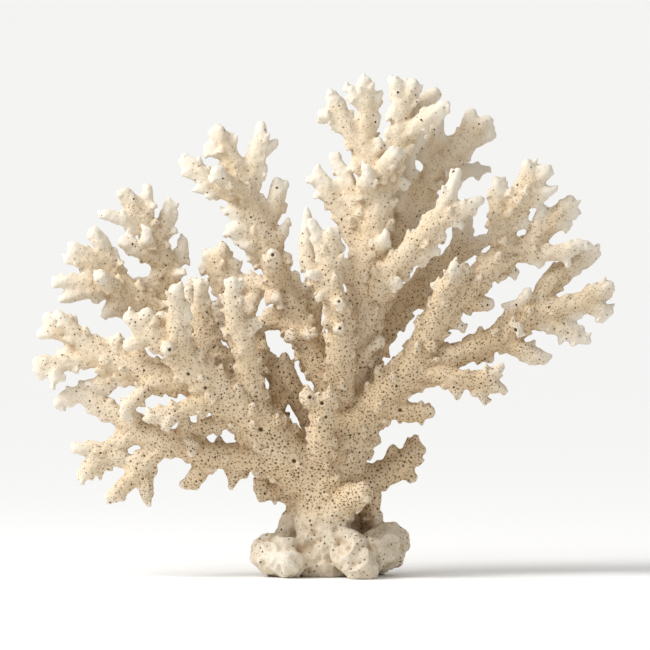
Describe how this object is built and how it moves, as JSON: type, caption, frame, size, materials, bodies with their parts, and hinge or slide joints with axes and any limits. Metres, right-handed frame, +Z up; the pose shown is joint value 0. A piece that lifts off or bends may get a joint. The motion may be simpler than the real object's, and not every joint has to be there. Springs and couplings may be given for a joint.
{
  "type": "branching coral",
  "caption": "Dry branching coral: a broad upright fan of forked, knobbly twigs on a short trunk with broken stubs, standing on a spreading foot sawn flat underneath.",
  "frame": {"origin": "on the flat cut under the foot, near its middle", "axes": "+X along the fan, to the viewer's right; +Y away from the viewer; +Z up"},
  "size_m": [0.2903, 0.071, 0.2501],
  "materials": {
    "pale_skeleton": "matt, chalky, pitted with fine pores",
    "cream_skeleton": "matt, chalky, pitted with fine pores",
    "tan_skeleton": "matt, chalky, pitted with fine pores"
  },
  "bodies": {
    "root": {"trunk": "pale_skeleton", "left_front_bough": "pale_skeleton", "left_head": "pale_skeleton", "left_front_finger": "pale_skeleton", "left_inner_finger": "cream_skeleton", "far_left_bough": "cream_skeleton", "lower_left_bough": "cream_skeleton", "outer_left_bough": "tan_skeleton", "upper_left_bough": "tan_skeleton", "left_back_frond": "cream_skeleton", "back_inner_bough": "tan_skeleton", "tall_left_bough": "cream_skeleton", "front_centre_bough": "cream_skeleton", "tall_centre_bough": "cream_skeleton", "right_back_bough": "cream_skeleton", "right_middle_bough": "pale_skeleton", "back_right_bough": "tan_skeleton", "right_bough": "cream_skeleton", "right_crown": "cream_skeleton", "right_low_bough": "cream_skeleton", "right_lower_frond": "cream_skeleton"}
  },
  "joints": []
}
